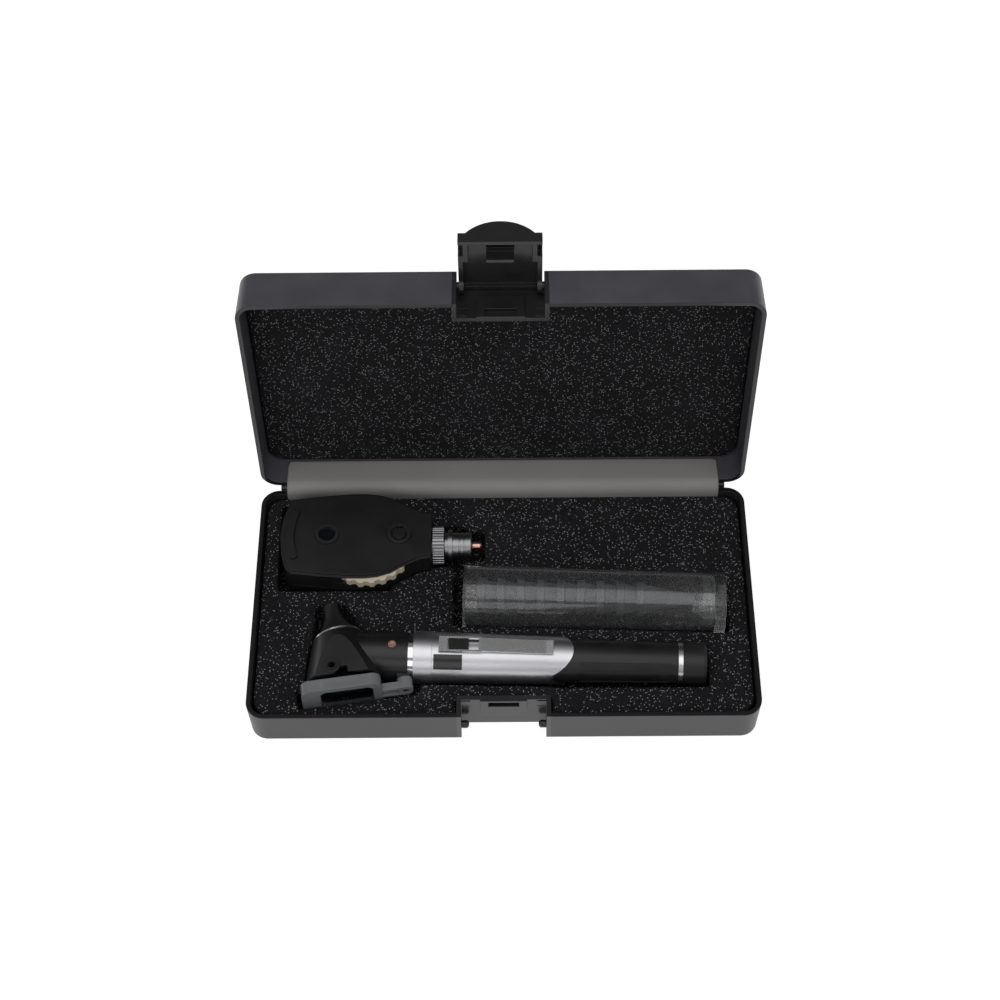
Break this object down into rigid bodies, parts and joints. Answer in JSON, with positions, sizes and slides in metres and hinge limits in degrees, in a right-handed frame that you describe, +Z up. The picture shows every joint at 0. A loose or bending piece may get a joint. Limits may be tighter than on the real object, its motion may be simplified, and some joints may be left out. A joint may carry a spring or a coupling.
{
  "type": "otoscope carry case",
  "caption": "Hinged black instrument case with a swinging latch, die-cut foam and a pocket otoscope, ophthalmoscope head and specula tube that lift out.",
  "frame": {"origin": "middle of the base's flat underside, on the surface it rests on", "axes": "+X along the case's width, +Y from the latch side to the hinge side, +Z up"},
  "size_m": [0.205, 0.145, 0.1483],
  "materials": {
    "black_gloss": "smooth",
    "black_satin": "satin",
    "case_plastic": "fine satin texture",
    "cell": "smooth sleeve",
    "chrome": "polished",
    "clear": "clear moulded",
    "copper": "turned",
    "fibre": "polished ends",
    "foam": "open-cell foam with pale flecks",
    "ivory": "moulded",
    "silver": "satin",
    "smoke": "dark coated",
    "specula_grey": "smooth",
    "steel": "machined",
    "strip": "satin"
  },
  "bodies": {
    "base": {"base_shell": "case_plastic", "base_recess": "case_plastic", "hinge_pins": "steel", "foam_floor": "foam", "foam_pads_outer": "foam", "foam_pads_inner": "foam", "foam_tray": "foam", "foam_tray_blocks": "foam", "foam_tray_wedges": "foam", "strip_base_flap": "strip", "strip_bend": "strip"},
    "lid": {"lid_shell": "case_plastic", "lid_recess": "case_plastic", "lid_foam": "foam", "strip_lid_flap": "strip"},
    "latch": {"latch": "case_plastic"},
    "otoscope": {"head_shell": "black_gloss", "speculum_ring": "chrome", "insufflation_port": "black_gloss", "head_screw": "steel", "lamp_fibre_ring": "fibre", "otoscope_lamp": "steel", "magnifier_post": "black_satin", "neck_ring": "chrome", "handle_collar": "silver", "handle_grip": "black_satin", "handle_sleeve": "silver", "switch_window": "black_satin", "pocket_clip": "chrome", "contact_pin": "copper", "battery_cells": "cell", "trim_ring": "chrome"},
    "speculum": {"speculum": "specula_grey"},
    "magnifier": {"magnifier_frame": "clear", "magnifier_lens": "clear"},
    "switch": {"switch_button": "black_satin"},
    "end_cap": {"end_cap": "black_satin", "battery_spring": "steel"},
    "ophthalmoscope": {"oph_front_shell": "black_gloss", "oph_rear_shell": "black_gloss", "brow_rest": "black_satin", "aperture_bezel": "black_gloss", "aperture_glass": "smoke", "filter_bezel": "black_gloss", "filter_knob": "black_gloss", "wheel_axle": "steel", "oph_mirror": "chrome", "oph_lamp": "steel", "knurled_ring": "steel", "connector_barrel": "steel", "connector_insulator": "black_satin", "connector_pin": "copper"},
    "lens_wheel": {"lens_wheel": "ivory"},
    "specula_tube": {"specula_tube": "clear", "nested_specula": "specula_grey"},
    "tube_cap": {"tube_cap": "clear"}
  },
  "joints": [
    {"name": "lid_hinge", "type": "hinge", "parent": "base", "child": "lid", "pos_m": [0, 0.05635, 0.019], "axis": [-1, 0, 0], "range_deg": [-93.85, 0], "deforming": ["strip_bend"]},
    {"name": "latch_hinge", "type": "hinge", "parent": "lid", "child": "latch", "pos_m": [0, 0.07787, 0.12434], "axis": [-1, 0, 0], "range_deg": [-90, 0]},
    {"name": "otoscope_lift", "type": "slide", "parent": "base", "child": "otoscope", "axis": [0, 0, 1], "range_m": [0, 0.05]},
    {"name": "speculum_twist", "type": "hinge", "parent": "otoscope", "child": "speculum", "pos_m": [-0.06686, -0.01907, 0.018], "axis": [-0.2436, 0.9699, 0], "range_deg": [0, 45]},
    {"name": "magnifier_swing", "type": "hinge", "parent": "otoscope", "child": "magnifier", "pos_m": [-0.03894, -0.04277, 0.019], "axis": [-0.1409, 0.99, 0], "range_deg": [0, 75]},
    {"name": "switch_slide", "type": "slide", "parent": "otoscope", "child": "switch", "axis": [0.9995, -0.0332, 0], "range_m": [0, 0.0035]},
    {"name": "end_cap_turn", "type": "hinge", "parent": "otoscope", "child": "end_cap", "pos_m": [0.07404, -0.03045, 0.018], "axis": [0.9995, -0.0332, 0], "continuous": true},
    {"name": "ophthalmoscope_lift", "type": "slide", "parent": "base", "child": "ophthalmoscope", "axis": [0, 0, 1], "range_m": [0, 0.05]},
    {"name": "lens_wheel_turn", "type": "hinge", "parent": "ophthalmoscope", "child": "lens_wheel", "pos_m": [-0.0563, 0.0234, 0.0214], "axis": [0, 0, 1], "continuous": true},
    {"name": "tube_lift", "type": "slide", "parent": "base", "child": "specula_tube", "axis": [0, 0, 1], "range_m": [0, 0.05]},
    {"name": "tube_cap_turn", "type": "hinge", "parent": "specula_tube", "child": "tube_cap", "pos_m": [0.08373, -0.00144, 0.0168], "axis": [0.9993, -0.0384, 0], "continuous": true}
  ]
}
